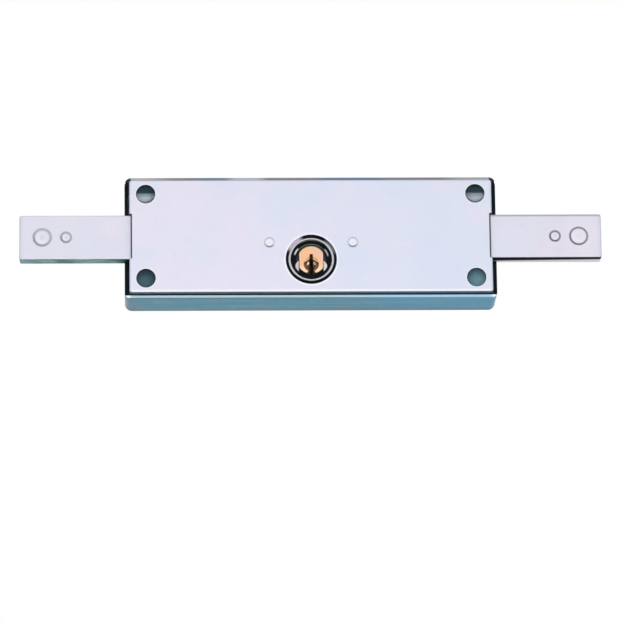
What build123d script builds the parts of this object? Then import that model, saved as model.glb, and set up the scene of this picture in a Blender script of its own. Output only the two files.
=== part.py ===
from build123d import *
from itertools import cycle
from math import acos, cos, pi, radians, sin, tan
import os

# Lock for a roller shutter: two flat bolts slide out of the ends of a flat steel case, and one turn
# of the key in the middle draws both in, through a pinion between two racks.
# X runs along the bolts, the front faces -Y and Z is up. The origin is the middle of the case's back.
# Millimetres. A distance called front or back is measured forwards from the case's back face.

# Case, a tray pressed from sheet steel and open at the front
case_width = 158.0
case_height = 53.3
case_depth = 22.0
sheet = 1.5
corner_radius = 3.0
bend_radius = 2.8
side_set_back = 2.2
notch_radius = 1.0

# Cover, a shallow folded lid let in between the walls and standing proud of their edges
cover_thickness = 1.5
cover_proud = 3.5
cover_rim = 6.0
cover_end_gap = 0.5
cover_long_gap = 0.45
cover_corner_radius = 1.2
cover_bend_radius = 0.7
bolt_relief = 0.6

# Fixing holes, wide in the cover and narrow in the case's back
fixing_inset_x = 9.0
fixing_inset_z = 8.15
cover_hole_diameter = 8.3
fixing_hole_diameter = 5.0

# Clearances
slide_gap = 0.3
fit_gap = 0.05
rivet_gap = 0.02
shaft_gap = 0.05

# Bolts, drawn as they stand when locked
bolt_throw = 44.5
bolt_lap = 3.5
bolt_height = 19.3
bolt_thickness = 7.0
bolt_edge = 0.5
bolt_end_radius = 0.9
large_pin_diameter = 8.2
large_pin_inset = 9.6
small_pin_diameter = 5.1
small_pin_inset = 19.7
pin_edge = 0.2

# Pinion and racks
gear_module = 0.8
pinion_teeth = 8
pressure_angle = 25.0
tooth_width = 1.05
pinion_addendum = 0.6
rack_addendum = 0.55
root_clearance = 0.25
rack_thickness = 2.8
rack_spare_teeth = 3
rack_end_margin = 0.2
pinion_overhang = 0.2
journal_diameter = 4.0
journal_recess = 0.2
tang_width = 3.2
tang_thickness = 1.6
tang_length = 3.0

# Carriages, cast blocks riveted behind the bolts that carry the racks
carriage_end_gap = 1.3
carriage_length = 30.7
carriage_height = 18.0
carriage_corner_radius = 1.2
leg_width = 8.0
pocket_length = 9.0
pocket_height = 5.0
pocket_depth = 4.0
rivet_diameter = 4.0
rivet_head_diameter = 6.4
rivet_head_depth = 1.2
rivet_drop = 4.9
rivet_inset = 5.5

# Guide pins on the back plate, in the carriages' slots
guide_diameter = 3.5
guide_collar_diameter = 7.0
guide_collar_height = 3.0
guide_foot_diameter = 3.0
guide_height = 3.2
slot_wall = 1.5

# Posts that hold the cover to the back plate and carry the clamp plate
post_x = 17.7
post_rise = 7.4
post_diameter = 4.5
post_collar_diameter = 7.0
post_neck_diameter = 2.6

# Lock cylinder
cylinder_rise = 16.25
cylinder_diameter = 19.7
cylinder_hole_diameter = 21.4
cylinder_recess = 0.2
rim_width = 1.1
rim_edge = 0.25
flange_diameter = 24.0
flange_thickness = 2.0
dish_depth = 1.5
dish_wall_depth = 0.8
dish_wall_slope = 0.15
dish_step_radius = 8.0
dish_step = 0.4
dish_step_drop = 0.5
clamp_width = 41.4
clamp_rise = 18.4
clamp_foot_gap = 2.65
clamp_thickness = 2.0
clamp_corner_radius = 3.0

# Plug
plug_diameter = 12.4
plug_flats = 10.2
plug_recess = 0.3
plug_edge = 0.2
key_slot_width = 1.4
key_slot_top = 2.4
key_slot_floor = 2.2
ward_drop = 2.1
ward_groove_outer = 6.4
ward_groove_inner = 3.6
ward_groove_depth = 1.2
mouth_width = 2.8
mouth_top = 3.2
mouth_depth = 2.4
clip_thickness = 0.7
clip_land = 0.4
clip_groove_depth = 0.8
clip_width = 1.9
clip_opening = 7.0

# Pin stacks, in a housing above the plug
housing_width = 7.0
housing_height = 15.0
pin_pitch = 2.5
pin_web = 0.4
first_pin_inset = 3.8
last_pin_inset = 3.2
pin_hole_floor = 0.3
pin_tip = 0.5
key_cuts = (0.6, 1.5, 0.9, 1.8, 1.2)
driver_length = 3.6
spring_turns = 3
spring_wire = 0.3
spring_gap = 0.1
strip_thickness = 1.0
strip_width = 2.8
strip_margin = 0.6

# Heights of the cylinder's axis, the posts and the clamp plate's ends
cylinder_z = cylinder_rise - case_height / 2
post_z = cylinder_z + post_rise
clamp_top = cylinder_z + clamp_rise
clamp_bottom = clamp_foot_gap + sheet - case_height / 2

# Levels from the back to the front
carriage_back = sheet + guide_collar_height + slide_gap
rack_front = carriage_back + rack_thickness
pinion_back = carriage_back - pinion_overhang
pinion_front = rack_front + pinion_overhang
plug_back = pinion_front
clip_back = plug_back + clip_land
clip_front = clip_back + clip_thickness
cylinder_back = clip_front + 2 * shaft_gap
cover_front = case_depth + cover_proud
cover_back = cover_front - cover_thickness
bolt_front = cover_back - slide_gap
bolt_back = bolt_front - bolt_thickness
cylinder_front = cover_front - cylinder_recess
dish_floor = cylinder_front - dish_depth
plug_front = cylinder_front - plug_recess
flange_back = cover_back - flange_thickness
clamp_back = flange_back - clamp_thickness
guide_front = bolt_back - slide_gap

# Gear sizes
pitch_radius = gear_module * pinion_teeth / 2
tooth_pitch = pi * gear_module
travel = tooth_pitch * pinion_teeth
base_radius = pitch_radius * cos(radians(pressure_angle))
tip_radius = pitch_radius + pinion_addendum
root_radius = pitch_radius - rack_addendum - root_clearance
rack_root = tip_radius + root_clearance
rack_tip = pitch_radius - rack_addendum
rack_outside = post_z - cylinder_z - post_neck_diameter / 2 - slide_gap
rack_teeth = pinion_teeth + rack_spare_teeth
rack_end = tooth_pitch + rack_end_margin

# Places along the bolts
cover_width = case_width - 2 * (sheet + cover_end_gap)
cover_height = case_height - 2 * (sheet + cover_long_gap)
bolt_reach = case_width / 2 + bolt_throw
carriage_inner_end = case_width / 2 - sheet - carriage_end_gap - carriage_length
bolt_inner_end = carriage_inner_end - bolt_lap
carriage_middle = carriage_inner_end + carriage_length / 2
slot_inner_end = carriage_inner_end + slot_wall
guide_x = slot_inner_end + slide_gap + guide_diameter / 2
slot_length = travel + guide_diameter + 2 * slide_gap
slot_middle = slot_inner_end + slot_length / 2
rivet_places = (
    carriage_inner_end + rivet_inset,
    carriage_inner_end + carriage_length - rivet_inset,
)

# Pin places and heights above the plug's axis. A longer plug has room for more pins
bore_radius = plug_diameter / 2 + shaft_gap
pin_row = plug_front - plug_back - first_pin_inset - last_pin_inset
pin_count = int(pin_row / pin_pitch) + 1
pin_levels = [plug_front - first_pin_inset - i * pin_pitch for i in range(pin_count)]
pin_hole_diameter = pin_pitch - pin_web
pin_diameter = pin_hole_diameter - 2 * shaft_gap
spring_diameter = pin_diameter - 2 * spring_gap
key_pin_top = plug_diameter / 2 - 2 * shaft_gap
driver_bottom = bore_radius + fit_gap
driver_top = driver_bottom + driver_length
spring_top = housing_height - strip_thickness

# Outlines shared by more than one piece
fixing_grid = (case_width - 2 * fixing_inset_x, case_height - 2 * fixing_inset_z, 2, 2)
post_places = [(-post_x, post_z), (post_x, post_z)]
guide_places = [(-guide_x, guide_height), (guide_x, guide_height)]


def face(distance):
    """The plane parallel to the back face, this far in front of it."""
    return Plane.XZ.offset(distance)


def barrel_face(distance):
    """The same plane with its centre on the cylinder's axis."""
    return Plane(origin=(0, -distance, cylinder_z), x_dir=(1, 0, 0), z_dir=(0, -1, 0))


def barrel_level(height):
    """The plane this far above the cylinder's axis, facing up."""
    return Plane.XY.offset(cylinder_z + height)


def save(piece, name):
    """Label a finished piece and write its file."""
    piece.part.label = name
    export_step(piece.part, "parts/" + name + ".step")


def tooth_half_angle(radius):
    """Half the angle that a pinion tooth takes up at a radius outside the base circle."""
    pitch_slope = radians(pressure_angle)
    slope = acos(base_radius / radius)
    return tooth_width / (2 * pitch_radius) + tan(pitch_slope) - pitch_slope - tan(slope) + slope


def tooth_point(radius, angle):
    """A point on the tooth that stands straight up."""
    return (radius * sin(angle), radius * cos(angle))


os.makedirs("parts", exist_ok=True)

# Case: the pressed tray, hollowed, with its bolt notches and holes
with BuildPart() as hollow:
    with BuildSketch(face(sheet)):
        inner_size = (case_width - 2 * sheet, case_height - 2 * sheet)
        RectangleRounded(*inner_size, corner_radius - sheet)
    extrude(amount=case_depth)
    fillet(hollow.faces().sort_by(Axis.Y)[-1].edges(), bend_radius - sheet)

with BuildPart() as case:
    with BuildSketch(face(0)):
        RectangleRounded(case_width, case_height, corner_radius)
    extrude(amount=case_depth)
    fillet(case.faces().sort_by(Axis.Y)[-1].edges(), bend_radius)
    add(hollow.part, mode=Mode.SUBTRACT)
    # The end walls stop short of the long walls' front edges
    with BuildSketch(face(case_depth)):
        Rectangle(case_width, case_height - 2 * sheet)
    extrude(amount=-side_set_back, mode=Mode.SUBTRACT)
    # Notches for the bolts, open at the front
    with BuildSketch(Plane.YZ.offset(-case_width / 2)):
        with Locations((-(bolt_back - slide_gap), 0)):
            RectangleRounded(
                2 * case_depth,
                bolt_height + 2 * slide_gap,
                notch_radius,
                align=(Align.MAX, Align.CENTER),
            )
    extrude(amount=case_width, mode=Mode.SUBTRACT)
    # Holes in the back plate
    with BuildSketch(face(0)):
        with GridLocations(*fixing_grid):
            Circle(fixing_hole_diameter / 2)
        with Locations(*post_places):
            Circle(post_neck_diameter / 2 + rivet_gap)
        with Locations(*guide_places):
            Circle(guide_foot_diameter / 2 + rivet_gap)
        with Locations((0, cylinder_z)):
            Circle(journal_diameter / 2 + shaft_gap)
    extrude(amount=sheet, mode=Mode.SUBTRACT)
save(case, "case")

# Cover: the lid and its rim, with gaps in the rim for the bolts, and its holes
with BuildPart() as cover_plate:
    with BuildSketch(face(cover_front - cover_rim)):
        RectangleRounded(cover_width, cover_height, cover_corner_radius)
    extrude(amount=cover_rim)
    fillet(cover_plate.faces().sort_by(Axis.Y)[0].edges(), cover_bend_radius)
    with BuildSketch(face(cover_front - cover_rim)):
        Rectangle(cover_width - 2 * cover_thickness, cover_height - 2 * cover_thickness)
    extrude(amount=cover_rim - cover_thickness, mode=Mode.SUBTRACT)
    with BuildSketch(face(cover_back)):
        Rectangle(cover_width, bolt_height + 2 * slide_gap)
    extrude(amount=-cover_rim, mode=Mode.SUBTRACT)
    with BuildSketch(face(cover_back)):
        with GridLocations(cover_width, 0, 2, 1):
            Rectangle(2 * bolt_relief, bolt_height + 2 * slide_gap)
        with GridLocations(*fixing_grid):
            Circle(cover_hole_diameter / 2)
        with Locations(*post_places):
            Circle(post_diameter / 2 + rivet_gap)
        with Locations((0, cylinder_z)):
            Circle(cylinder_hole_diameter / 2)
    extrude(amount=cover_thickness, mode=Mode.SUBTRACT)
save(cover_plate, "cover_plate")


def build_bolt(side):
    """A flat bolt, -1 for the left one and 1 for the right one."""
    length = bolt_reach - bolt_inner_end
    with BuildPart() as bolt:
        with BuildSketch(face(bolt_back)):
            with Locations((side * (bolt_inner_end + length / 2), 0)):
                Rectangle(length, bolt_height)
        extrude(amount=bolt_thickness)
        free_end = bolt.faces().sort_by(Axis.X)[0 if side < 0 else -1]
        fillet(free_end.edges().filter_by(Axis.Y), bolt_end_radius)
        fillet(bolt.edges().filter_by(Axis.X), bolt_edge)
        with BuildSketch(face(bolt_back)):
            with Locations((side * (bolt_reach - large_pin_inset), 0)):
                Circle(large_pin_diameter / 2 + rivet_gap)
            with Locations((side * (bolt_reach - small_pin_inset), 0)):
                Circle(small_pin_diameter / 2 + rivet_gap)
        extrude(amount=bolt_thickness, mode=Mode.SUBTRACT)
        with Locations(face(bolt_front)):
            with Locations(*[(side * x, -rivet_drop) for x in rivet_places]):
                CounterSinkHole(
                    rivet_diameter / 2 + rivet_gap,
                    rivet_head_diameter / 2 + rivet_gap,
                    depth=bolt_thickness,
                )
    return bolt


def build_bolt_pin(side, diameter, inset):
    """A pin riveted flush into a bolt, this far from the bolt's free end."""
    with BuildPart() as pin:
        with BuildSketch(face(bolt_back)):
            with Locations((side * (bolt_reach - inset), 0)):
                Circle(diameter / 2)
        extrude(amount=bolt_thickness)
        chamfer(pin.edges(), pin_edge)
    return pin


def build_carriage(side):
    """A carriage with its rack: above the pinion for the left bolt (-1), below it for the right (1)."""
    with BuildPart() as carriage:
        with BuildSketch(face(carriage_back)):
            with Locations((side * carriage_middle, 0)):
                RectangleRounded(carriage_length, carriage_height, carriage_corner_radius)
        extrude(amount=bolt_back - carriage_back)
        # The rack's bar and teeth
        with BuildSketch(face(carriage_back)):
            bar_length = carriage_inner_end + leg_width + rack_end
            with Locations((side * (bar_length / 2 - rack_end), cylinder_z - side * rack_root)):
                Rectangle(
                    bar_length,
                    rack_outside - rack_root,
                    align=(Align.CENTER, Align.MAX if side > 0 else Align.MIN),
                )
            row_middle = side * tooth_pitch * (rack_teeth - 2) / 2
            with Locations((row_middle, cylinder_z - side * (rack_root + rack_tip) / 2)):
                with GridLocations(tooth_pitch, 0, rack_teeth, 1):
                    Trapezoid(
                        tooth_width + 2 * (rack_root - pitch_radius) * tan(radians(pressure_angle)),
                        rack_root - rack_tip,
                        90 - pressure_angle,
                        rotation=90 - 90 * side,
                    )
            # The rack hangs from a leg on its block
            leg_end = cylinder_z - rack_outside if side > 0 else cylinder_z + rack_root
            with Locations((side * (carriage_inner_end + leg_width / 2), leg_end)):
                Rectangle(leg_width, -leg_end, align=(Align.CENTER, Align.MIN))
        extrude(amount=rack_thickness)
        # Slot for the guide pin, and a pocket cast into the back
        with BuildSketch(face(carriage_back)):
            with Locations((side * slot_middle, guide_height)):
                SlotOverall(slot_length, guide_diameter + 2 * slide_gap)
        extrude(amount=bolt_back - carriage_back, mode=Mode.SUBTRACT)
        with BuildSketch(face(carriage_back)):
            with Locations((side * carriage_middle, -rivet_drop)):
                RectangleRounded(pocket_length, pocket_height, carriage_corner_radius)
        extrude(amount=pocket_depth, mode=Mode.SUBTRACT)
        with Locations(face(carriage_back).rotated((180, 0, 0))):
            with Locations(*[(side * x, rivet_drop) for x in rivet_places]):
                CounterSinkHole(
                    rivet_diameter / 2 + rivet_gap,
                    rivet_head_diameter / 2 + rivet_gap,
                    depth=bolt_back - carriage_back,
                )
    return carriage


def build_carriage_rivets(side):
    """The two rivets between a bolt and its carriage, countersunk at both ends."""
    shank = rivet_diameter / 2
    head = rivet_head_diameter / 2
    with BuildPart() as rivets:
        for x in rivet_places:
            centre = (side * x, 0, -rivet_drop)
            with BuildSketch(Plane(origin=centre, x_dir=(1, 0, 0), z_dir=(0, 0, 1))):
                with BuildLine():
                    Polyline(
                        (0, -carriage_back),
                        (head, -carriage_back),
                        (shank, -(carriage_back + rivet_head_depth)),
                        (shank, -(bolt_front - rivet_head_depth)),
                        (head, -bolt_front),
                        (0, -bolt_front),
                        close=True,
                    )
                make_face()
            revolve(axis=Axis(centre, (0, 1, 0)))
    return rivets


for side, side_name in ((-1, "left"), (1, "right")):
    save(build_bolt(side), side_name + "_bolt")
    save(build_bolt_pin(side, large_pin_diameter, large_pin_inset), side_name + "_large_pin")
    save(build_bolt_pin(side, small_pin_diameter, small_pin_inset), side_name + "_small_pin")
    save(build_carriage(side), side_name + "_carriage")
    save(build_carriage_rivets(side), side_name + "_carriage_rivets")

# Guide pins: foot in the back plate, collar under the carriage, stem in its slot
with BuildPart() as guide_pins:
    for radius, start, end in (
        (guide_foot_diameter / 2, 0, sheet),
        (guide_collar_diameter / 2, sheet, sheet + guide_collar_height),
        (guide_diameter / 2, sheet + guide_collar_height, guide_front),
    ):
        with BuildSketch(face(start)):
            with Locations(*guide_places):
                Circle(radius)
        extrude(amount=end - start)
save(guide_pins, "guide_pins")

# Cover posts: thin neck past the racks, stem through the clamp plate, collar, head in the cover
with BuildPart() as cover_posts:
    for radius, start, end in (
        (post_neck_diameter / 2, 0, rack_front + slide_gap),
        (post_diameter / 2, rack_front + slide_gap, flange_back),
        (post_collar_diameter / 2, flange_back, cover_back),
        (post_diameter / 2, cover_back, cover_front),
    ):
        with BuildSketch(face(start)):
            with Locations(*post_places):
                Circle(radius)
        extrude(amount=end - start)
    chamfer(cover_posts.faces().sort_by(Axis.Y)[:2].edges(), pin_edge)
save(cover_posts, "cover_posts")

# Clamp plate behind the cylinder's flange, with an opening in the shape of a keyhole
with BuildPart() as cylinder_clamp:
    with BuildSketch(face(clamp_back)):
        with Locations((0, (clamp_top + clamp_bottom) / 2)):
            RectangleRounded(clamp_width, clamp_top - clamp_bottom, clamp_corner_radius)
        with Locations(*post_places):
            Circle(post_diameter / 2 + rivet_gap, mode=Mode.SUBTRACT)
        with Locations((0, cylinder_z)):
            Circle(cylinder_diameter / 2 + fit_gap, mode=Mode.SUBTRACT)
            Rectangle(
                housing_width + 2 * fit_gap,
                housing_height + fit_gap,
                align=(Align.CENTER, Align.MIN),
                mode=Mode.SUBTRACT,
            )
    extrude(amount=clamp_thickness)
save(cylinder_clamp, "cylinder_clamp")

# Cylinder body: turned barrel with a dished front, flange and pin housing
rim_inner = cylinder_diameter / 2 - rim_width
with BuildPart() as cylinder_body:
    with BuildSketch(Plane.XY.offset(cylinder_z)):
        with BuildLine():
            Polyline(
                (0, -cylinder_back),
                (cylinder_diameter / 2, -cylinder_back),
                (cylinder_diameter / 2, -flange_back),
                (flange_diameter / 2, -flange_back),
                (flange_diameter / 2, -cover_back),
                (cylinder_diameter / 2, -cover_back),
                (cylinder_diameter / 2, -(cylinder_front - rim_edge)),
                (cylinder_diameter / 2 - rim_edge, -cylinder_front),
                (rim_inner, -cylinder_front),
                (rim_inner - dish_wall_slope, -(cylinder_front - dish_wall_depth)),
                (dish_step_radius, -(cylinder_front - dish_wall_depth)),
                (dish_step_radius - dish_step, -(cylinder_front - dish_wall_depth - dish_step_drop)),
                (bore_radius, -dish_floor),
                (0, -dish_floor),
                close=True,
            )
        make_face()
    revolve(axis=Axis((0, 0, cylinder_z), (0, 1, 0)))
    with BuildSketch(barrel_face(cylinder_back)):
        Rectangle(housing_width, housing_height, align=(Align.CENTER, Align.MIN))
    extrude(amount=cover_back - cylinder_back)
    with BuildSketch(barrel_face(cylinder_back)):
        Circle(bore_radius)
    extrude(amount=cylinder_front - cylinder_back, mode=Mode.SUBTRACT)
    # Pin chambers, and the groove that the strip over them fills
    strip_front = pin_levels[0] + pin_hole_diameter / 2 + strip_margin
    strip_back = pin_levels[-1] - pin_hole_diameter / 2 - strip_margin
    with BuildSketch(barrel_level(0)):
        with Locations(*[(0, -level) for level in pin_levels]):
            Circle(pin_hole_diameter / 2)
    extrude(amount=housing_height, mode=Mode.SUBTRACT)
    with BuildSketch(barrel_level(spring_top)):
        with Locations((0, -(strip_front + strip_back) / 2)):
            Rectangle(strip_width, strip_front - strip_back)
    extrude(amount=strip_thickness, mode=Mode.SUBTRACT)
save(cylinder_body, "cylinder_body")

# Strip that closes the pin chambers
with BuildPart() as chamber_strip:
    with BuildSketch(barrel_level(spring_top)):
        with Locations((0, -(strip_front + strip_back) / 2)):
            Rectangle(strip_width - 2 * fit_gap, strip_front - strip_back - 2 * fit_gap)
    extrude(amount=strip_thickness)
save(chamber_strip, "chamber_strip")

# Plug, with its flats, key slot, ward groove, pin holes, clip groove and driving tang
with BuildPart() as plug:
    with BuildSketch(barrel_face(plug_back)):
        Circle(plug_diameter / 2)
    extrude(amount=dish_floor - plug_back)
    with BuildSketch(barrel_face(dish_floor)):
        Circle(plug_diameter / 2)
        Rectangle(plug_flats, plug_diameter, mode=Mode.INTERSECT)
    extrude(amount=plug_front - dish_floor)
    chamfer(plug.faces().sort_by(Axis.Y)[0].edges(), plug_edge)
    with BuildSketch(barrel_face(plug_front)):
        with Locations((0, key_slot_top)):
            Rectangle(key_slot_width, plug_diameter, align=(Align.CENTER, Align.MAX))
    extrude(amount=plug_back + key_slot_floor - plug_front, mode=Mode.SUBTRACT)
    with BuildSketch(barrel_face(plug_front)):
        with Locations((0, -ward_drop)):
            Circle(ward_groove_outer / 2)
            Circle(ward_groove_inner / 2, mode=Mode.SUBTRACT)
    extrude(amount=-ward_groove_depth, mode=Mode.SUBTRACT)
    with BuildSketch(barrel_face(plug_front)):
        with BuildLine():
            Polyline(
                (0, -mouth_top),
                (mouth_width / 2, -plug_diameter / 2),
                (-mouth_width / 2, -plug_diameter / 2),
                close=True,
            )
        make_face()
    extrude(amount=-mouth_depth, mode=Mode.SUBTRACT)
    with BuildSketch(barrel_level(pin_hole_floor)):
        with Locations(*[(0, -level) for level in pin_levels]):
            Circle(pin_hole_diameter / 2)
    extrude(amount=plug_diameter / 2, mode=Mode.SUBTRACT)
    with BuildSketch(barrel_face(clip_back)):
        Circle(plug_diameter)
        Circle(plug_diameter / 2 - clip_groove_depth, mode=Mode.SUBTRACT)
    extrude(amount=clip_thickness + 2 * shaft_gap, mode=Mode.SUBTRACT)
    with BuildSketch(barrel_face(plug_back)):
        Rectangle(tang_thickness, tang_width)
    extrude(amount=-tang_length)
save(plug, "plug")

# Spring clip in the plug's groove, open at the bottom
with BuildPart() as plug_clip:
    clip_inner = plug_diameter / 2 - clip_groove_depth + shaft_gap
    with BuildSketch(barrel_face(clip_back)):
        Circle(clip_inner + clip_width)
        Circle(clip_inner, mode=Mode.SUBTRACT)
        Rectangle(clip_opening, plug_diameter, align=(Align.CENTER, Align.MAX), mode=Mode.SUBTRACT)
    extrude(amount=clip_thickness)
save(plug_clip, "plug_clip")

# Key pins, at the heights to which the key's cuts lift them, tops level with the plug
with BuildPart() as key_pins:
    for level, cut in zip(pin_levels, cycle(key_cuts)):
        with BuildSketch(barrel_level(cut)):
            with Locations((0, -level)):
                Circle(pin_diameter / 2)
        extrude(amount=key_pin_top - cut)
    tips = key_pins.edges().filter_by(GeomType.CIRCLE).filter_by(lambda e: e.center().Z < cylinder_z + 2)
    chamfer(tips, pin_tip)
save(key_pins, "key_pins")

# Driver pins above them
with BuildPart() as driver_pins:
    with BuildSketch(barrel_level(driver_bottom)):
        with Locations(*[(0, -level) for level in pin_levels]):
            Circle(pin_diameter / 2)
    extrude(amount=driver_length)
save(driver_pins, "driver_pins")

# Springs above the driver pins, wound from square wire
with BuildPart() as pin_springs:
    spring_height = spring_top - driver_top - spring_wire
    coil_radius = (spring_diameter - spring_wire) / 2
    for level in pin_levels:
        foot = (0, -level, cylinder_z + driver_top + spring_wire / 2)
        with BuildLine():
            coil = Helix(spring_height / spring_turns, spring_height, coil_radius, center=foot)
        with BuildSketch(Plane(origin=coil @ 0, x_dir=(0, 0, 1), z_dir=coil % 0)):
            Rectangle(spring_wire, spring_wire)
        sweep(path=coil, is_frenet=True)
save(pin_springs, "pin_springs")

# One pinion tooth, pointing up, with involute flanks and a foot inside the root circle
flank_radii = [base_radius + i * (tip_radius - base_radius) / 4 for i in range(5)]
right_flank = [tooth_point(radius, tooth_half_angle(radius)) for radius in flank_radii]
left_flank = [(-x, y) for x, y in reversed(right_flank)]
foot_radius = root_radius / 2
foot_angle = tooth_half_angle(base_radius)
with BuildSketch() as tooth:
    with BuildLine():
        Spline(*right_flank)
        Line(right_flank[-1], left_flank[0])
        Spline(*left_flank)
        Polyline(
            left_flank[-1],
            tooth_point(foot_radius, -foot_angle),
            tooth_point(foot_radius, foot_angle),
            right_flank[0],
        )
    make_face()

# Pinion on the plug's tang, with a journal that turns in the back plate
with BuildPart() as drive_pinion:
    with BuildSketch(barrel_face(pinion_back)):
        Circle(root_radius)
        with PolarLocations(0, pinion_teeth):
            add(tooth.sketch)
    extrude(amount=pinion_front - pinion_back)
    with BuildSketch(barrel_face(journal_recess)):
        Circle(journal_diameter / 2)
    extrude(amount=pinion_back - journal_recess)
    with BuildSketch(barrel_face(pinion_front)):
        Rectangle(tang_thickness + 2 * fit_gap, tang_width + 2 * fit_gap)
    extrude(amount=-(tang_length + fit_gap), mode=Mode.SUBTRACT)
save(drive_pinion, "drive_pinion")
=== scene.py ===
import math

import bmesh
import bpy
from mathutils import Matrix, Vector

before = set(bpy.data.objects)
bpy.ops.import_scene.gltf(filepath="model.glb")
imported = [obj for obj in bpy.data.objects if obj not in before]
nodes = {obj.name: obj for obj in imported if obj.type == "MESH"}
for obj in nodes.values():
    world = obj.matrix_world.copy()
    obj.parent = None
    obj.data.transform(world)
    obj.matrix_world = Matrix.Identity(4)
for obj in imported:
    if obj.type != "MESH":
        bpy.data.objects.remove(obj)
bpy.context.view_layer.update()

MM = 0.001

# Where the photograph was taken from, in metres and degrees
CAMERA_PLACE = (-0.0739, -2.125, -0.6031)
CAMERA_UP_TILT = 15.174
CAMERA_YAW = -2.005
CAMERA_ROLL = -0.716
CAMERA_FOCUS_PIXELS = 5154.2
CAMERA_CLIP_START = 0.01
PICTURE_WIDTH = 622
SENSOR_WIDTH = 36.0

# The studio, in metres and watts
FLOOR_HEIGHT = -1.9
FLOOR_HALF_WIDTH = 20.0
FLOOR_ROUGHNESS = 0.9
FLOOR_GLOW = 0.6
WORLD_LEVEL = 0.27
LAMP_AIM = (0, 0, 0)

# Each lamp's name, place, width and power
LAMPS = (
    ("key_softbox", (-0.7, -1.2, 0.9), 0.9, 2.15),
    ("fill_softbox", (0.9, -1.0, 0.3), 0.9, 1.6),
    ("front_softbox", (-0.05, -1.6, -0.38), 0.45, 11.25),
)

# Sizes and places on the lock that the finishes follow, in metres
HALF_WIDTH = 79.0 * MM
HALF_HEIGHT = 26.65 * MM
COVER_HALF_HEIGHT = 24.7 * MM
COVER_INNER_FACE = -24.05 * MM
COVER_END_OVER_BOLT = 75.8 * MM
CYLINDER_HEIGHT = -10.4 * MM
CYLINDER_HOLE = 10.7 * MM
FIXING_X = 70.0 * MM
FIXING_Z = 18.5 * MM
FIXING_HOLE = 4.15 * MM
BACK_PLATE_FACE = -3.9 * MM
INSIDE_MARGIN = 1.2 * MM
HOLE_SHADOW_X = {-1: -70.35 * MM, 1: 71.64 * MM}
HOLE_SHADOW_Z = 26.0 * MM
BOLT_HALF_HEIGHT = 9.65 * MM
DARK_LINE_SLANT = 0.04
LARGE_PIN_X = 113.9 * MM
SMALL_PIN_X = 103.8 * MM
LEFT_PIN_RING = 3.45 * MM
RIGHT_PIN_RING = 3.6 * MM
SMALL_RING_SHARE = 0.57
POST_X = 17.7 * MM
POST_Z = -3.0 * MM
POST_RING = 1.75 * MM
BARREL_RIM_INNER = 8.8 * MM
BARREL_RIM_OUTER = 9.66 * MM
BARREL_OUTSIDE = 9.83 * MM
RIM_FLATTENING = 1.035
BARREL_FLANGE_FACE = -22.0 * MM
DISH_WEDGE_HEIGHT = -2.5 * MM
PLUG_FACE_DEPTH = 24.85 * MM
PLUG_FLAT_X = 5.0 * MM
WARD_DROP = 2.1 * MM
WARD_FIELD_RADIUS = 2.3 * MM
WARD_GROOVE_RADIUS = 3.25 * MM
GLINT_X = 1.7 * MM
GLINT_DROP = 1.65 * MM
KEY_SLOT_HALF_WIDTH = 1.25 * MM

# How squarely a face looks to the front before a front colour starts, and where it is full
PLATE_FRONT = (0.35, 0.85)
FLUSH_END_FRONT = (0.3, 0.8)
WALL_EDGE_FRONT = (0.6, 0.9)
BARREL_FRONT = (0.72, 0.92)
FLAT_BACK_PLATE = (0.985, 0.998)
BEND_TO_WALL = (0.5, 0.8)

# Patterns, gloss and relief
CLOUD_SIZE = 22.0 * MM
CLOUD_TINT = 0.55
PLATE_GRAIN = 1.2 * MM
BARREL_GRAIN = 0.8 * MM
BRASS_GRAIN = 0.7 * MM
SPANGLE_SIZE = 6.0 * MM
PATCH_SIZE = 20.0 * MM
CASE_STREAK = 1.1 * MM
BOLT_STREAK = 4.0 * MM
FLOOR_CLOUD = 0.4
PLATE_METALLIC = 0.35
CASE_METALLIC = 0.45
BRASS_METALLIC = 0.3
PLATE_ROUGHNESS = 0.52
FLUSH_END_ROUGHNESS = 0.5
BRASS_ROUGHNESS = 0.46
GRAIN_ROUGHNESS = 0.12
UNEVEN_ROUGHNESS = 0.16
BOLT_SPECULAR = 0.15
BARREL_SPECULAR = 0.12
GRAIN_DEPTH = 0.02 * MM
PLATE_RELIEF = 0.3
CASE_RELIEF = 0.25
BARE_METAL_RELIEF = 0.35

# The sockets of a colour Mix node, by number
MIX_FACTOR, MIX_UNDER, MIX_OVER, MIX_RESULT = 0, 6, 7, 2


def shade(red, green, blue):
    """A colour as a picture shows it, 0 to 255, made linear for a shader by the sRGB curve."""
    def linear(part):
        part = part / 255
        return part / 12.92 if part <= 0.04045 else ((part + 0.055) / 1.055) ** 2.4

    return (linear(red), linear(green), linear(blue), 1.0)


WHITE = (1.0, 1.0, 1.0, 1.0)
STUDIO_GREY = (0.97, 0.95, 0.97, 1.0)
# Painted highlight for the cover's edges
EDGE_HIGHLIGHT = shade(248, 248, 252)
# Painted shade for the case's corners
CORNER_SHADE = shade(20, 26, 34)


class Value:
    """A shader socket that can be used in sums."""

    def __init__(self, finish, socket):
        self.finish = finish
        self.socket = socket

    def sum_with(self, operation, *parts):
        return self.finish.node("ShaderNodeMath", {"operation": operation}, parts)

    def __add__(self, other):
        return self.sum_with("ADD", self, other)

    def __radd__(self, other):
        return self.sum_with("ADD", other, self)

    def __sub__(self, other):
        return self.sum_with("SUBTRACT", self, other)

    def __rsub__(self, other):
        return self.sum_with("SUBTRACT", other, self)

    def __mul__(self, other):
        return self.sum_with("MULTIPLY", self, other)

    def __rmul__(self, other):
        return self.sum_with("MULTIPLY", other, self)

    def __truediv__(self, other):
        return self.sum_with("DIVIDE", self, other)

    def __pow__(self, other):
        return self.sum_with("POWER", self, other)

    def __abs__(self):
        return self.sum_with("ABSOLUTE", self)

    def larger(self, other):
        return self.sum_with("MAXIMUM", self, other)


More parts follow.
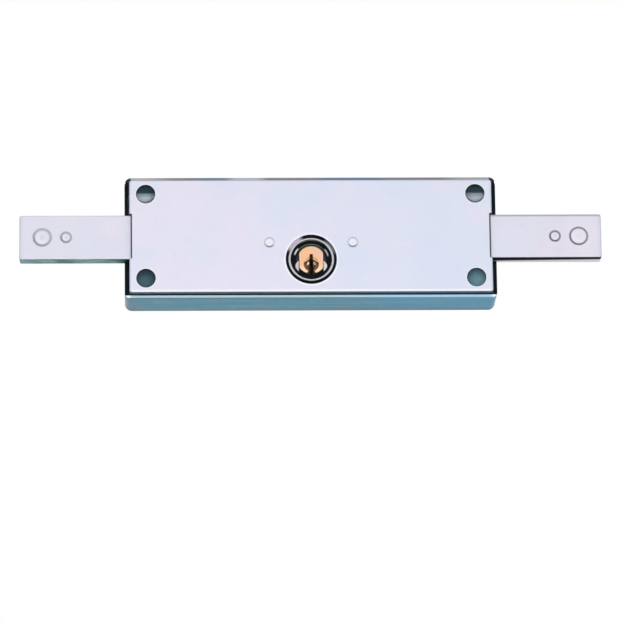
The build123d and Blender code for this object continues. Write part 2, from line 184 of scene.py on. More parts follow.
class Finish:
    """One material, built from nodes that read the place on the lock in metres."""

    def __init__(self, name):
        self.material = bpy.data.materials.new(name)
        self.material.use_nodes = True
        self.tree = self.material.node_tree
        self.shader = self.tree.nodes["Principled BSDF"]
        self.place = self.node("ShaderNodeTexCoord", output="Object")
        self.x, self.y, self.z = self.parts(self.place)
        facing = self.node("ShaderNodeTexCoord", output="Normal")
        self.facing_x, self.facing_y, self.facing_z = self.parts(facing)

    def node(self, kind, settings=None, inputs=(), output=0):
        """A new node with its settings, inputs by name or in order, and one output as a Value."""
        made = self.tree.nodes.new(kind)
        for name, value in (settings or {}).items():
            setattr(made, name, value)
        pairs = inputs.items() if isinstance(inputs, dict) else enumerate(inputs)
        for key, value in pairs:
            self.feed(made.inputs[key], value)
        return Value(self, made.outputs[output])

    def feed(self, socket, value):
        if isinstance(value, Value):
            self.tree.links.new(value.socket, socket)
        else:
            socket.default_value = value

    def parts(self, vector):
        split = self.node("ShaderNodeSeparateXYZ", inputs=(vector,))
        outputs = split.socket.node.outputs
        return [Value(self, outputs[axis]) for axis in "XYZ"]

    def step(self, value, low, high):
        """0 below low and 1 above high, with a smooth rise between."""
        settings = {"interpolation_type": "SMOOTHSTEP"}
        return self.node("ShaderNodeMapRange", settings, (value, low, high, 0.0, 1.0))

    def fall(self, value, low, high):
        """1 below low and 0 above high."""
        return 1 - self.step(value, low, high)

    def past(self, value, border, soft):
        """0 before a border and 1 past it, with the rise this wide to either side."""
        return self.step(value, border - soft, border + soft)

    def band(self, value, low, high, soft):
        """1 between two borders, each this soft to either side."""
        return self.past(value, low, soft) * (1 - self.past(value, high, soft))

    def outward(self, near, far):
        """0 nearer the lock's middle than near and 1 beyond far, to the left and right."""
        return self.step(abs(self.x), near, far)

    def beneath(self, near, far):
        """0 above near and 1 below far, both measured down from the lock's middle."""
        return self.step(-1 * self.z, near, far)

    def front(self, low, high):
        """1 on faces that look to the front, along -Y."""
        return self.step(-1 * self.facing_y, low, high)

    def underside(self, low, high):
        """1 on faces that look down."""
        return self.step(-1 * self.facing_z, low, high)

    def radius(self, x, z):
        """How far a place lies from an axis that runs from front to back."""
        return ((self.x - x) ** 2 + (self.z - z) ** 2) ** 0.5

    def sector(self, angle, reach, soft):
        """1 within reach degrees of a direction from the cylinder's axis, +X being 0 degrees."""
        turn = math.radians(angle)
        rise = self.z - CYLINDER_HEIGHT
        along = self.x * math.cos(turn) + rise * math.sin(turn)
        outer = math.cos(math.radians(reach + soft))
        inner = math.cos(math.radians(max(reach - soft, 0)))
        return self.step(along / self.radius(0, CYLINDER_HEIGHT), outer, inner)

    def noise(self, size, detail=3.0, roughness=0.55, stretch=(1, 1, 1), offset=(0, 0, 0)):
        """Cloudy noise from 0 to 1, with patches of about this size in metres."""
        scale = [part / size for part in stretch]
        inputs = {"Vector": self.place, "Location": offset, "Scale": scale}
        vector = self.node("ShaderNodeMapping", inputs=inputs)
        inputs = {"Vector": vector, "Scale": 1.0, "Detail": detail, "Roughness": roughness}
        return self.node("ShaderNodeTexNoise", inputs=inputs)

    def mix(self, under, over, mask):
        """The colour under, and over it the other one where the mask is 1."""
        inputs = {MIX_FACTOR: mask, MIX_UNDER: under, MIX_OVER: over}
        return self.node("ShaderNodeMix", {"data_type": "RGBA"}, inputs, MIX_RESULT)

    def colour(self, value):
        self.feed(self.shader.inputs["Base Color"], value)

    def roughness(self, value):
        self.feed(self.shader.inputs["Roughness"], value)

    def metallic(self, value):
        self.feed(self.shader.inputs["Metallic"], value)

    def specular(self, level):
        self.shader.inputs["Specular IOR Level"].default_value = level

    def relief(self, height, strength):
        inputs = {"Strength": strength, "Distance": GRAIN_DEPTH, "Height": height}
        normal = self.node("ShaderNodeBump", inputs=inputs)
        self.feed(self.shader.inputs["Normal"], normal)


def paint(name, finish):
    """The finish goes on a solid of the frame."""
    for place in nodes[name].material_slots:
        place.material = finish.material


def satin_plate(finish, base, pinker, bluer):
    """Pale plate with faint clouds of pink and blue, and the fine grain that it wears."""
    clouds = finish.noise(CLOUD_SIZE, detail=2.0, offset=(3.1, 0.4, 1.7))
    colour = finish.mix(base, pinker, CLOUD_TINT * finish.step(clouds, 0.5, 0.7))
    colour = finish.mix(colour, bluer, CLOUD_TINT * finish.fall(clouds, 0.32, 0.48))
    grain = finish.noise(PLATE_GRAIN, detail=2.0)
    speckle = 0.2 * finish.step(grain, 0.5, 0.8)
    return finish.mix(colour, shade(208, 209, 223), speckle), grain


def gap_painted_shade_and_light(finish):
    """Painted shade for the gap round the barrel, with the grey light that falls into its upper
    half painted on.
    """
    colour = finish.mix(shade(24, 27, 38), shade(216, 208, 220), finish.sector(134, 19, 8))
    return finish.mix(colour, shade(132, 135, 140), finish.sector(36, 16, 9))


def cover_edge_highlights(finish, barrel_radius):
    """Painted highlights along the cover's lower edge and round its holes."""
    lower_edge = finish.beneath(COVER_HALF_HEIGHT - 1.3 * MM, COVER_HALF_HEIGHT - 0.7 * MM)
    inner, outer = CYLINDER_HOLE + 0.3 * MM, CYLINDER_HOLE + 0.8 * MM
    edges = lower_edge.larger(finish.band(barrel_radius, inner, outer, 0.3 * MM))
    for x in (-FIXING_X, FIXING_X):
        for z in (-FIXING_Z, FIXING_Z):
            radius = finish.radius(x, z)
            ring = finish.band(radius, FIXING_HOLE, FIXING_HOLE + 0.3 * MM, 0.2 * MM)
            edges = edges.larger(ring)
    return edges


def cover_rim(finish):
    """The rim's outer faces: grey along the long sides, darker where they face down as a painted
    dark reflection, and at the two ends pale, then painted shade further back.
    """
    long_sides = finish.mix(shade(112, 124, 138), shade(90, 116, 132), finish.underside(0.3, 0.8))
    end_shade = finish.step(finish.y, -22.6 * MM, -21.8 * MM)
    ends = finish.mix(shade(168, 176, 190), shade(16, 28, 34), end_shade)
    return finish.mix(long_sides, ends, finish.step(abs(finish.facing_x), 0.4, 0.8))


def cover_finish():
    finish = Finish("cover_satin_plate")
    across = finish.step(finish.x, -FIXING_X, FIXING_X)
    base = finish.mix(shade(226, 224, 238), shade(218, 223, 238), across)
    plate, grain = satin_plate(finish, base, shade(231, 222, 237), shade(214, 222, 239))
    barrel_radius = finish.radius(0, CYLINDER_HEIGHT)
    # Painted highlights along the cover's lower edge and round its holes
    plate = finish.mix(plate, EDGE_HIGHLIGHT, 0.75 * cover_edge_highlights(finish, barrel_radius))

    # Painted shade in the crevice where each bolt passes under the cover's end
    bolt_row = 1 - finish.past(abs(finish.z), BOLT_HALF_HEIGHT + 0.15 * MM, 0.1 * MM)
    end = finish.past(abs(finish.x), COVER_END_OVER_BOLT, 0.1 * MM)
    plate = finish.mix(plate, shade(62, 64, 62), end * bolt_row)

    # Painted shade of the gap round the barrel, with painted light in its upper half
    gap = gap_painted_shade_and_light(finish)
    in_hole = finish.fall(barrel_radius, CYLINDER_HOLE + 0.05 * MM, CYLINDER_HOLE + 0.2 * MM)
    plate = finish.mix(plate, gap, in_hole)
    rim = finish.mix(cover_rim(finish), gap, in_hole)
    front = finish.front(*PLATE_FRONT)
    colour = finish.mix(rim, plate, front)

    inside = finish.past(finish.y, COVER_INNER_FACE, 0.15 * MM)
    hollow = inside * finish.step(abs(finish.facing_y), 0.3, 0.7)
    finish.colour(finish.mix(colour, shade(150, 158, 172), hollow))
    finish.metallic(PLATE_METALLIC + 0.6 * (1 - front).larger(in_hole))
    finish.roughness(PLATE_ROUGHNESS + GRAIN_ROUGHNESS * grain)
    finish.relief(grain, PLATE_RELIEF)
    return finish


def case_outer_colour(finish, spangle, streaks):
    """Blue-grey zinc with its spangle and long streaks."""
    colour = finish.mix(shade(160, 177, 190), shade(174, 190, 202), finish.step(spangle, 0.3, 0.7))
    return finish.mix(colour, shade(148, 168, 184), 0.5 * finish.step(streaks, 0.4, 0.65))


def case_under_painted_reflection(finish, streaks):
    """The lower wall's underside: blue zinc painted with a teal reflection, bluer to the right,
    duller towards the back plate and at the left end.
    """
    colour = finish.mix(shade(59, 160, 190), shade(99, 184, 215), finish.step(streaks, 0.35, 0.68))
    patches = finish.noise(PATCH_SIZE, detail=2.0, offset=(0.7, 3.1, 0.2))
    colour = finish.mix(colour, shade(120, 166, 176), 0.5 * finish.step(patches, 0.5, 0.7))
    bluer = 0.35 * finish.step(finish.x, 5 * MM, 45 * MM)
    colour = finish.mix(colour, shade(84, 189, 229), bluer)
    across = finish.step(finish.x, -60 * MM, 60 * MM)
    rear_colour = finish.mix(shade(126, 155, 171), shade(94, 140, 166), across)
    colour = finish.mix(colour, rear_colour, 0.8 * finish.step(finish.y, -9 * MM, -3 * MM))
    dull_end = 0.6 * finish.fall(finish.x, -78 * MM, -70 * MM)
    return finish.mix(colour, shade(122, 158, 164), dull_end)


def upper_edge_light_and_shade(finish):
    """The upper wall's edge in painted shade: pale at the ends, slate blue in two stretches,
    darkest at the corners.
    """
    from_left = finish.step(finish.x, -74 * MM, -54 * MM)
    colour = finish.mix(shade(176, 172, 178), shade(126, 127, 136), from_left)
    left_slate = finish.band(finish.x, -49 * MM, -36 * MM, 3 * MM)
    colour = finish.mix(colour, shade(110, 124, 150), left_slate)
    light_stretch = finish.band(finish.x, -34 * MM, -20 * MM, 3 * MM)
    colour = finish.mix(colour, shade(168, 178, 190), light_stretch)
    right_slate = finish.band(finish.x, 5 * MM, 31 * MM, 5 * MM)
    colour = finish.mix(colour, shade(102, 120, 148), right_slate)
    colour = finish.mix(colour, shade(156, 162, 164), finish.step(finish.x, 54 * MM, 66 * MM))
    return finish.mix(colour, CORNER_SHADE, finish.outward(75.8 * MM, 77 * MM))


def lower_edge_highlight_and_reflection(finish):
    """The lower wall's edge as a painted highlight, brightest at the ends, with the bluer fold
    below it in the painted teal reflection.
    """
    across = finish.step(finish.x, 0, 40 * MM)
    colour = finish.mix(shade(192, 217, 222), shade(186, 220, 244), across)
    colour = finish.mix(colour, shade(244, 248, 250), finish.outward(76.2 * MM, 77.2 * MM))
    across = finish.step(finish.x, 10 * MM, 40 * MM)
    fold_colour = finish.mix(shade(92, 124, 142), shade(98, 152, 178), across)
    return finish.mix(colour, fold_colour, finish.beneath(26.05 * MM, 26.25 * MM))


def hole_shadow(finish, side):
    """The shadow of a top fixing hole's lower rim, where the camera sees the back plate."""
    radius = finish.radius(HOLE_SHADOW_X[side], HOLE_SHADOW_Z)
    outside_circle = finish.past(radius, 3.8 * MM, 0.2 * MM)
    return outside_circle * finish.past(side * finish.x, 60.5 * MM, 0.5 * MM)


def case_inner_colour(finish, spangle, bend):
    """The back plate seen from inside: pale zinc painted paler above as painted light, teal below
    as painted shade, with its bends, and its hole walls painted pale as painted light.
    """
    pale = finish.step(spangle, 0.35, 0.65)
    colour = finish.mix(shade(228, 244, 255), shade(240, 252, 255), pale)
    shadows = hole_shadow(finish, -1).larger(hole_shadow(finish, 1))
    colour = finish.mix(colour, shade(164, 168, 190), shadows)
    colour = finish.mix(colour, shade(214, 228, 244), bend)
    # Painted light on the walls of the holes
    hole_walls_painted_light = 1 - finish.front(0.3, 0.7)
    colour = finish.mix(colour, shade(246, 252, 255), hole_walls_painted_light)
    # Painted shade: the lower half of the back plate turns teal
    across = finish.step(finish.x, -40 * MM, 40 * MM)
    teal = finish.mix(shade(99, 140, 154), shade(147, 199, 217), across)
    return finish.mix(colour, teal, finish.beneath(-2 * MM, 4 * MM))


def case_hollow(finish):
    """1 on the faces inside the tray."""
    beyond_x = finish.past(abs(finish.x), HALF_WIDTH - INSIDE_MARGIN, 0.1 * MM)
    beyond_y = finish.past(finish.y, -INSIDE_MARGIN, 0.1 * MM)
    beyond_z = finish.past(abs(finish.z), HALF_HEIGHT - INSIDE_MARGIN, 0.1 * MM)
    return (1 - beyond_x) * (1 - beyond_y) * (1 - beyond_z)


def case_finish():
    finish = Finish("case_blue_zinc")
    spangle = finish.noise(SPANGLE_SIZE, detail=4.0, offset=(1.3, 2.2, 0.5))
    streaks = finish.noise(CASE_STREAK, detail=4.0, roughness=0.65, stretch=(0.02, 1, 1))
    # Down-facing faces of the lower wall, which get the painted teal reflection
    below = finish.underside(0.35, 0.75) * finish.beneath(23.7 * MM, 24.5 * MM)
    outside = case_outer_colour(finish, spangle, streaks)
    colour = finish.mix(outside, case_under_painted_reflection(finish, streaks), below)

    wall_edge = finish.front(*WALL_EDGE_FRONT) * finish.fall(finish.y, -19.5 * MM, -19.0 * MM)
    lower_wall = finish.beneath(20 * MM, 21 * MM)
    # Painted shade on the upper wall's edge and a painted highlight on the lower wall's edge
    edge_colour = finish.mix(upper_edge_light_and_shade(finish), lower_edge_highlight_and_reflection(finish), lower_wall)
    # Painted shade: the end walls' front edges are made near-black
    end_edge_shade = finish.past(abs(finish.x), HALF_WIDTH - 1.6 * MM, 0.1 * MM)
    end_edge_shade = end_edge_shade * (1 - finish.beneath(24.6 * MM, 25.0 * MM))
    edge_colour = finish.mix(edge_colour, shade(10, 20, 24), end_edge_shade)
    colour = finish.mix(colour, edge_colour, wall_edge)

    # Painted shade on the outer top corners near the front
    top_corner_shade = finish.outward(76.2 * MM, 76.8 * MM) * finish.step(finish.z, 23.6 * MM, 24.2 * MM)
    top_corner_shade = top_corner_shade * finish.fall(finish.y, -18.5 * MM, -17.5 * MM)
    colour = finish.mix(colour, CORNER_SHADE, top_corner_shade)

    inside = case_hollow(finish) * (1 - wall_edge)
    back_plate = finish.past(finish.y, BACK_PLATE_FACE, 0.1 * MM)
    bend = (1 - finish.front(*FLAT_BACK_PLATE)) * finish.front(*BEND_TO_WALL)
    plate_colour = case_inner_colour(finish, spangle, bend)
    inner_colour = finish.mix(shade(108, 160, 172), plate_colour, back_plate)
    finish.colour(finish.mix(colour, inner_colour, inside))

    dull = inside * (1 - back_plate).larger(bend)
    flat_plate = inside * back_plate * (1 - bend)
    finish.metallic(CASE_METALLIC + 0.5 * wall_edge * end_edge_shade - 0.4 * dull - 0.2 * flat_plate)
    finish.roughness(0.3 + 0.2 * spangle + 0.4 * dull)
    finish.relief(streaks, CASE_RELIEF)
    return finish


def left_lower_reflection(finish, shade_near_case):
    """The left bolt's lower side: a painted teal reflection in streaks, with painted shade beside
    the case.
    """
    streaks = finish.noise(BOLT_STREAK, stretch=(0.5, 1.5, 1.5))
    streak = finish.step(streaks, 0.38, 0.62)
    colour = finish.mix(shade(102, 148, 150), shade(160, 198, 196), streak)
    return finish.mix(colour, shade(62, 92, 92), shade_near_case)


def bolt_finish(side):
    """Satin plate. On the lower side, polish adds metal and gloss takes roughness away."""
    name = "left" if side < 0 else "right"
    finish = Finish(name + "_bolt_satin_plate")
    finish.specular(BOLT_SPECULAR)
    base = shade(222, 222, 235) if side < 0 else shade(224, 221, 233)
    plate, grain = satin_plate(finish, base, shade(234, 226, 238), shade(220, 226, 241))
    outer_end = finish.step(side * finish.x, 121.5 * MM, 123.2 * MM)
    plate = finish.mix(plate, shade(208, 210, 224), 0.6 * outer_end)
    if side < 0:
        # Painted shade on the left bolt beside the case, on its lower side and upper edge
        shade_near_case = finish.step(finish.x, -85 * MM, -78 * MM)
        lower = left_lower_reflection(finish, shade_near_case)
        top_edge = finish.mix(shade(226, 226, 234), shade(204, 204, 212), shade_near_case)
        edge_width, polish, gloss = 0.5 * MM, 0.6, 0.0
    else:
        # The right bolt's lower side: a near-black painted dark reflection at the front, then a
        # pale painted reflection behind a slanting line
        slanting = finish.y + DARK_LINE_SLANT * (finish.x - HALF_WIDTH)
        pale = finish.step(slanting, -20.9 * MM, -18.6 * MM)
        lower = finish.mix(shade(10, 11, 16), shade(246, 248, 252), pale)
        top_edge = shade(172, 184, 198)
        edge_width, polish, gloss = 1.3 * MM, 0.9 * pale - 0.3, 0.5 * pale - 0.3

    upper_strip = finish.step(
        finish.z, BOLT_HALF_HEIGHT - edge_width, BOLT_HALF_HEIGHT - 0.4 * edge_width)
    plate = finish.mix(plate, top_edge, upper_strip)
    if side > 0:
        # Painted shade along the right bolt's lower edge
        lower_edge_shade = finish.beneath(BOLT_HALF_HEIGHT - 0.5 * MM, BOLT_HALF_HEIGHT - 0.3 * MM)
        plate = finish.mix(plate, shade(40, 42, 50), lower_edge_shade)

    behind_edge = finish.step(finish.y, -23.2 * MM, -22.5 * MM)
    sides = finish.mix(shade(150, 158, 170), shade(208, 210, 220), behind_edge)
    lower_side = finish.underside(0.4, 0.8)
    sides = finish.mix(sides, lower, lower_side)
    front = finish.front(*PLATE_FRONT)
    finish.colour(finish.mix(sides, plate, front))
    lower_only = lower_side * (1 - front)
    finish.metallic(PLATE_METALLIC + polish * lower_only)
    finish.roughness(PLATE_ROUGHNESS + GRAIN_ROUGHNESS * grain - gloss * lower_only)
    finish.relief(grain, PLATE_RELIEF)
    return finish


def flush_end(finish, radius, ring, lower, disc, bright, dark, above):
    """A riveted end, level with its plate: a disc with a painted highlight band and a ring of
    painted shade round it.

    lower is 1 where the painted highlight band and shaded ring are strongest, and above is the
    shaded ring's strength elsewhere.
    """
    plate, grain = satin_plate(finish, disc, shade(233, 226, 238), shade(218, 225, 240))
    glow = finish.band(radius, 0.35 * ring, 0.72 * ring, 0.1 * ring)
    plate = finish.mix(plate, bright, glow * (0.4 + 0.6 * lower))
    ring_shade = finish.mix(disc, dark, above + (1 - above) * lower)
    on_ring = finish.band(radius, ring - 0.3 * MM, ring + 0.3 * MM, 0.25 * MM)
    plate = finish.mix(plate, ring_shade, on_ring)
    front = finish.front(*FLUSH_END_FRONT)
    finish.colour(finish.mix(shade(190, 193, 205), plate, front))
    finish.metallic(PLATE_METALLIC)
    finish.roughness(FLUSH_END_ROUGHNESS + GRAIN_ROUGHNESS * grain)
    finish.relief(grain, PLATE_RELIEF)
    return finish


def pin_finish(name, x, ring, dark, above):
    """The end of a pin in a bolt, its painted shade darkest at its lower left."""
    finish = Finish(name + "_flush_end")
    shaded_lower_left = finish.step(0.6 * (x - finish.x) - finish.z, -0.6 * ring, 1.1 * ring)
    disc, bright = shade(214, 213, 225), shade(230, 229, 240)
    return flush_end(finish, finish.radius(x, 0), ring, shaded_lower_left, disc, bright, dark, above)


def post_finish():
    """The ends of both posts in the cover, with painted shade only along their lower edge."""
    finish = Finish("post_flush_end")
    radius = ((abs(finish.x) - POST_X) ** 2 + (finish.z - POST_Z) ** 2) ** 0.5
    lower = finish.step(POST_Z - finish.z, 0.2 * MM, 1.7 * MM)
    disc, bright, dark = shade(226, 226, 238), shade(246, 246, 252), shade(124, 124, 136)
    return flush_end(finish, radius, POST_RING, lower, disc, bright, dark, 0.1)


def lit_wedge_mask(finish):
    """The two wedges of painted light on the dish beside the plug's flats."""
    drop = abs(finish.z - CYLINDER_HEIGHT - DISH_WEDGE_HEIGHT)
    inside_arc = 6.7 * MM - abs(finish.x) - 0.27 * drop * drop / MM
    wedge = finish.past(inside_arc, 0, 0.15 * MM)
    return wedge * finish.outward(PLUG_FLAT_X + 0.1 * MM, PLUG_FLAT_X + 0.4 * MM)


def dish_shade_and_light(finish, radius, grain):
    """Near-black painted shade in the dish, with a thin olive painted highlight above, two white
    painted highlight arcs and two white wedges of painted light.
    """
    dark = finish.mix(shade(5, 8, 12), shade(18, 24, 28), grain)
    olive_highlight = finish.band(radius, 6.8 * MM, 7.2 * MM, 0.15 * MM) * finish.sector(92, 44, 14)
    colour = finish.mix(dark, shade(124, 136, 116), 0.7 * olive_highlight)
    arcs = finish.sector(149, 10, 5).larger(0.6 * finish.sector(27, 11, 5))
    arc_highlights = finish.band(radius, 7.1 * MM, 7.7 * MM, 0.2 * MM) * arcs
    colour = finish.mix(colour, shade(236, 240, 240), arc_highlights)
    across = finish.step(finish.x, -1 * MM, 1 * MM)
    lit_wedge_colour = finish.mix(shade(242, 228, 234), shade(244, 250, 238), across)
    return finish.mix(colour, lit_wedge_colour, lit_wedge_mask(finish))


def barrel_finish():
    """Bright nickel rim round the dish, which is painted in shade with some painted light."""
    finish = Finish("barrel_nickel")
    finish.specular(BARREL_SPECULAR)
    radius = finish.radius(0, CYLINDER_HEIGHT)
    grain = finish.noise(BARREL_GRAIN, detail=2.0)
    nickel = finish.mix(shade(172, 171, 176), shade(192, 192, 196), grain)
    # Painted shade of the gap round the barrel, with painted light in its upper half
    gap = gap_painted_shade_and_light(finish)

    height = RIM_FLATTENING * (finish.z - CYLINDER_HEIGHT)
    flattened = (finish.x ** 2 + height ** 2) ** 0.5
    beyond_rim = finish.past(flattened, BARREL_RIM_OUTER + 0.01 * MM, 0.05 * MM)
    dish = finish.mix(dish_shade_and_light(finish, radius, grain), gap, beyond_rim)
    rim = finish.band(flattened, BARREL_RIM_INNER, BARREL_RIM_OUTER, 0.06 * MM)
    rim = rim * finish.front(*BARREL_FRONT)
    colour = finish.mix(dish, nickel, rim)
    outside = finish.past(radius, BARREL_OUTSIDE, 0.03 * MM)
    colour = finish.mix(colour, gap, outside)
    behind = finish.past(finish.y, BARREL_FLANGE_FACE, 0.1 * MM)
    finish.colour(finish.mix(colour, shade(150, 152, 158), behind))

    shiny = rim.larger(behind)
    finish.metallic(0.15 + 0.7 * shiny)
    finish.roughness(0.62 - 0.4 * shiny + 0.2 * grain)
    return finish


def plug_brass(finish, grain, height, radius):
    """Peach brass, paler at the flats and below as painted highlights, with painted shade on its
    upper bevel and lower flanks.
    """
    colour = finish.mix(shade(241, 185, 134), shade(249, 200, 154), grain)
    upper_right = finish.step(height + finish.x, 2.0 * MM, 5.5 * MM)
    colour = finish.mix(colour, shade(238, 192, 168), upper_right)
    near_flats = finish.outward(4.2 * MM, 4.9 * MM)
    edge = near_flats.larger(finish.step(radius, 5.2 * MM, 6.0 * MM))
    lower = finish.step(-1 * height, 2.0 * MM, 4.5 * MM)
    colour = finish.mix(colour, shade(253, 228, 198), (0.6 * edge).larger(0.8 * lower))
    bevel = finish.step(radius, 5.55 * MM, 5.8 * MM) * finish.step(height, 1.0 * MM, 2.5 * MM)
    flank_shade = finish.outward(PLUG_FLAT_X - 0.2 * MM, PLUG_FLAT_X)
    flank_shade = flank_shade * finish.fall(height, -1.0 * MM, 0.5 * MM)
    return finish.mix(colour, shade(112, 100, 66), bevel.larger(0.7 * flank_shade))


def keyway_shade_and_glints(finish, height, slot_shade):
    """Painted shade round the keyway, with a painted glint to either side and the slot in
    near-black painted shade.
    """
    from_glint = ((abs(finish.x) - GLINT_X) ** 2 + (height + GLINT_DROP) ** 2) ** 0.5
    across = finish.step(finish.x, -0.5 * MM, 0.5 * MM)
    glint = finish.mix(shade(240, 214, 198), shade(206, 172, 150), across)
    colour = finish.mix(glint, shade(70, 38, 20), finish.step(from_glint, 0.6 * MM, 0.95 * MM))
    return finish.mix(colour, shade(40, 24, 16), slot_shade)


def plug_depths(finish, height, radius, ward_radius, spade, slot_shade):
    """What lies behind the face: the slot and ward groove in dark painted shade, brown lower down
    and peach above, and the shoulders of the flats in near-black painted shade, with painted light
    where the lit wedges fall.
    """
    groove = finish.outward(0.75 * MM, 1.1 * MM) * finish.step(-1 * height, 0.6 * MM, 2.2 * MM)
    colour = finish.mix(shade(34, 14, 8), shade(124, 78, 34), groove * (1 - slot_shade))
    upper_groove = (1 - spade) * (1 - finish.past(ward_radius, WARD_GROOVE_RADIUS, 0.05 * MM))
    upper_groove = upper_groove * finish.outward(0.72 * MM, 0.85 * MM)
    colour = finish.mix(colour, shade(252, 200, 156), upper_groove)
    shoulder = finish.past(abs(finish.x), PLUG_FLAT_X, 0.1 * MM)
    shoulder = shoulder * finish.past(radius, PLUG_FLAT_X, 0.1 * MM)
    dull = finish.mix(shade(24, 18, 16), shade(224, 219, 217), lit_wedge_mask(finish))
    return finish.mix(colour, dull, shoulder)


def plug_finish():
    finish = Finish("plug_brass")
    grain = finish.noise(BRASS_GRAIN)
    height = finish.z - CYLINDER_HEIGHT
    radius = finish.radius(0, CYLINDER_HEIGHT)
    ward_radius = finish.radius(0, CYLINDER_HEIGHT - WARD_DROP)
    spade_half_width = 0.6 * MM + 1.5 * (0.6 * MM - height)
    spade = finish.past(spade_half_width - abs(finish.x), 0, 0.2 * MM)
    # Painted shade in the key slot
    slot_shade = finish.past(KEY_SLOT_HALF_WIDTH - abs(finish.x), 0, 0.2 * MM)
    slot_shade = slot_shade * finish.band(height, -4.0 * MM, -2.9 * MM, 0.3 * MM)

    face = plug_brass(finish, grain, height, radius)
    # Painted shade round the keyway, with its painted glints
    keyway_shade = (1 - finish.past(ward_radius, WARD_FIELD_RADIUS, 0.1 * MM)) * spade
    face = finish.mix(face, keyway_shade_and_glints(finish, height, slot_shade), keyway_shade)
    # Painted shade where the slot's mouth widens at the bottom
    flare_half_width = 0.6 * (-1 * height - 4.2 * MM) + 0.9 * MM
    flare_shade = finish.past(flare_half_width - abs(finish.x), 0, 0.15 * MM)
    flare_shade = flare_shade * finish.step(-1 * height, 3.9 * MM, 4.3 * MM)
    face = finish.mix(face, shade(40, 30, 26), flare_shade)

    depths = plug_depths(finish, height, radius, ward_radius, spade, slot_shade)
    front = finish.past(-1 * finish.y, PLUG_FACE_DEPTH, 0.1 * MM)
    finish.colour(finish.mix(depths, face, front))
    finish.metallic(BRASS_METALLIC)
    finish.roughness(BRASS_ROUGHNESS + GRAIN_ROUGHNESS * grain)
    finish.relief(grain, PLATE_RELIEF)
    return finish


def plain_metal(name, low, high, size, metallic=0.8, roughness=0.35, stretch=(1, 1, 1)):
    """A bare or plated metal with its grain."""
    finish = Finish(name)
    grain = finish.noise(size, detail=4.0, stretch=stretch)
    finish.colour(finish.mix(low, high, finish.step(grain, 0.3, 0.7)))
    finish.metallic(metallic)
    finish.roughness(roughness + UNEVEN_ROUGHNESS * (grain - 0.5))
    finish.relief(grain, BARE_METAL_RELIEF)
    return finish


def finish_bolt(name, side, ring, dark, above):
    """The bolt of one side, with the ring of its large pin and how dark and how closed its painted
    shade is.
    """
    paint(name + "_bolt", bolt_finish(side))
    large, small = name + "_large_pin", name + "_small_pin"
    small_ring = SMALL_RING_SHARE * ring
    paint(large, pin_finish(large, side * LARGE_PIN_X, ring, dark, above))
    paint(small, pin_finish(small, side * SMALL_PIN_X, small_ring, dark, above))


def finish_outside():
    paint("cover_plate", cover_finish())
    paint("case", case_finish())
    finish_bolt("left", -1, LEFT_PIN_RING, shade(128, 126, 138), 0.6)
    finish_bolt("right", 1, RIGHT_PIN_RING, shade(64, 63, 77), 0.75)
    paint("cover_posts", post_finish())
    paint("cylinder_body", barrel_finish())
    paint("plug", plug_finish())


def finish_inside():
    cast = plain_metal(
        "cast_zinc", shade(140, 143, 150), shade(168, 170, 176), 1.5 * MM, 0.6, 0.5)
    turned = plain_metal(
        "turned_steel", shade(150, 152, 156), shade(180, 182, 186), 0.6 * MM)
    pressed = plain_metal(
        "pressed_steel", shade(138, 144, 152), shade(164, 170, 178), 2.0 * MM, stretch=(0.2, 1, 1))
    spring = plain_metal(
        "spring_steel", shade(120, 122, 128), shade(150, 152, 158), 0.5 * MM)
    hobbed = plain_metal(
        "hobbed_steel", shade(116, 118, 124), shade(146, 148, 152), 0.5 * MM)
    turned_brass = plain_metal(
        "turned_brass", shade(196, 158, 92), shade(222, 184, 118), 0.5 * MM)
    rolled_brass = plain_metal(
        "rolled_brass", shade(186, 150, 84), shade(212, 174, 106), 0.8 * MM, stretch=(1, 0.1, 1))
    # Key pins darkened as painted shade inside the keyway
    brass_in_painted_shade = plain_metal(
        "brass_in_painted_shade", shade(84, 58, 28), shade(112, 78, 40), 0.5 * MM)
    for name in ("left_carriage", "right_carriage"):
        paint(name, cast)
        paint(name + "_rivets", turned)
    paint("guide_pins", turned)
    paint("cylinder_clamp", pressed)
    paint("plug_clip", spring)
    paint("pin_springs", spring)
    paint("drive_pinion", hobbed)
    paint("key_pins", brass_in_painted_shade)
    paint("driver_pins", turned_brass)
    paint("chamber_strip", rolled_brass)


class Surroundings(Finish):
    """The world's nodes, used in the same way as a finish."""

    def __init__(self, world):
        world.use_nodes = True
        self.tree = world.node_tree


def background_rays(finish):
    """1 for the rays that should meet the white background."""
    camera = finish.node("ShaderNodeLightPath", output="Is Camera Ray")
    outputs = camera.socket.node.outputs
    glossy = Value(finish, outputs["Is Glossy Ray"])
    clear = Value(finish, outputs["Is Transmission Ray"])
    return camera.larger(glossy).larger(clear)


def make_world():
    world = bpy.data.worlds.new("studio")
    around = Surroundings(world)
    around.tree.nodes.clear()
    soft = around.node("ShaderNodeBackground", inputs=(STUDIO_GREY, WORLD_LEVEL))
    white = around.node("ShaderNodeBackground", inputs=(WHITE, 1.0))
    mixed = around.node("ShaderNodeMixShader", inputs=(background_rays(around), soft, white))
    output = around.tree.nodes.new("ShaderNodeOutputWorld")
    around.feed(output.inputs["Surface"], mixed)
    bpy.context.scene.world = world


def floor_finish():
    """Pale and matt, and partly white by itself for the camera and for reflections."""
    finish = Finish("floor_pale")
    tone = finish.noise(FLOOR_CLOUD, detail=2.0)
    finish.colour(finish.mix(shade(244, 245, 248), shade(250, 250, 252), tone))
    finish.roughness(FLOOR_ROUGHNESS)
    surface = Value(finish, finish.shader.outputs[0])
    glow = finish.node("ShaderNodeEmission", inputs=(WHITE, 1.0))
    share = FLOOR_GLOW * background_rays(finish)
    mixed = finish.node("ShaderNodeMixShader", inputs=(share, surface, glow))
    finish.feed(finish.tree.nodes["Material Output"].inputs["Surface"], mixed)
    return finish


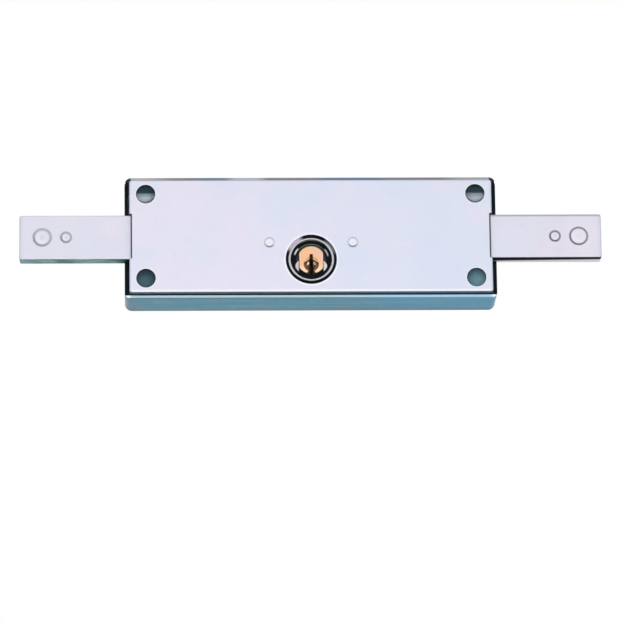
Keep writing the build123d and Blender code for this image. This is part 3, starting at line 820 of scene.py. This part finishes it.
def make_floor():
    mesh = bpy.data.meshes.new("floor")
    made = bmesh.new()
    bmesh.ops.create_grid(made, x_segments=1, y_segments=1, size=FLOOR_HALF_WIDTH)
    bmesh.ops.translate(made, verts=made.verts, vec=(0, 0, FLOOR_HEIGHT))
    made.to_mesh(mesh)
    made.free()
    mesh.materials.append(floor_finish().material)
    floor = bpy.data.objects.new("floor", mesh)
    bpy.context.scene.collection.objects.link(floor)


def make_lamp(name, place, size, power):
    lamp = bpy.data.lights.new(name, "AREA")
    lamp.shape = "DISK"
    lamp.size = size
    lamp.energy = power
    holder = bpy.data.objects.new(name, lamp)
    holder.location = place
    towards = Vector(LAMP_AIM) - Vector(place)
    holder.rotation_euler = towards.to_track_quat("-Z", "Y").to_euler()
    bpy.context.scene.collection.objects.link(holder)


def camera_turn():
    """The camera's turn, from its yaw, its tilt upwards and its roll."""
    angles = (CAMERA_UP_TILT, CAMERA_YAW, CAMERA_ROLL)
    tilt, yaw, roll = (math.radians(angle) for angle in angles)
    level = math.cos(tilt)
    ahead = Vector((-math.sin(yaw) * level, math.cos(yaw) * level, math.sin(tilt)))
    level_right = Vector((math.cos(yaw), math.sin(yaw), 0))
    level_up = level_right.cross(ahead)
    right = level_right * math.cos(roll) + level_up * math.sin(roll)
    up = level_up * math.cos(roll) - level_right * math.sin(roll)
    return Matrix((right, up, -ahead)).transposed().to_4x4()


def make_camera():
    lens = bpy.data.cameras.new("camera")
    lens.sensor_fit = "HORIZONTAL"
    lens.sensor_width = SENSOR_WIDTH
    lens.lens = CAMERA_FOCUS_PIXELS / PICTURE_WIDTH * SENSOR_WIDTH
    lens.clip_start = CAMERA_CLIP_START
    camera = bpy.data.objects.new("camera", lens)
    camera.matrix_world = Matrix.Translation(CAMERA_PLACE) @ camera_turn()
    bpy.context.scene.collection.objects.link(camera)
    bpy.context.scene.camera = camera


finish_outside()
finish_inside()
make_floor()
make_world()
for lamp in LAMPS:
    make_lamp(*lamp)
make_camera()
bpy.context.scene.view_settings.view_transform = "Standard"
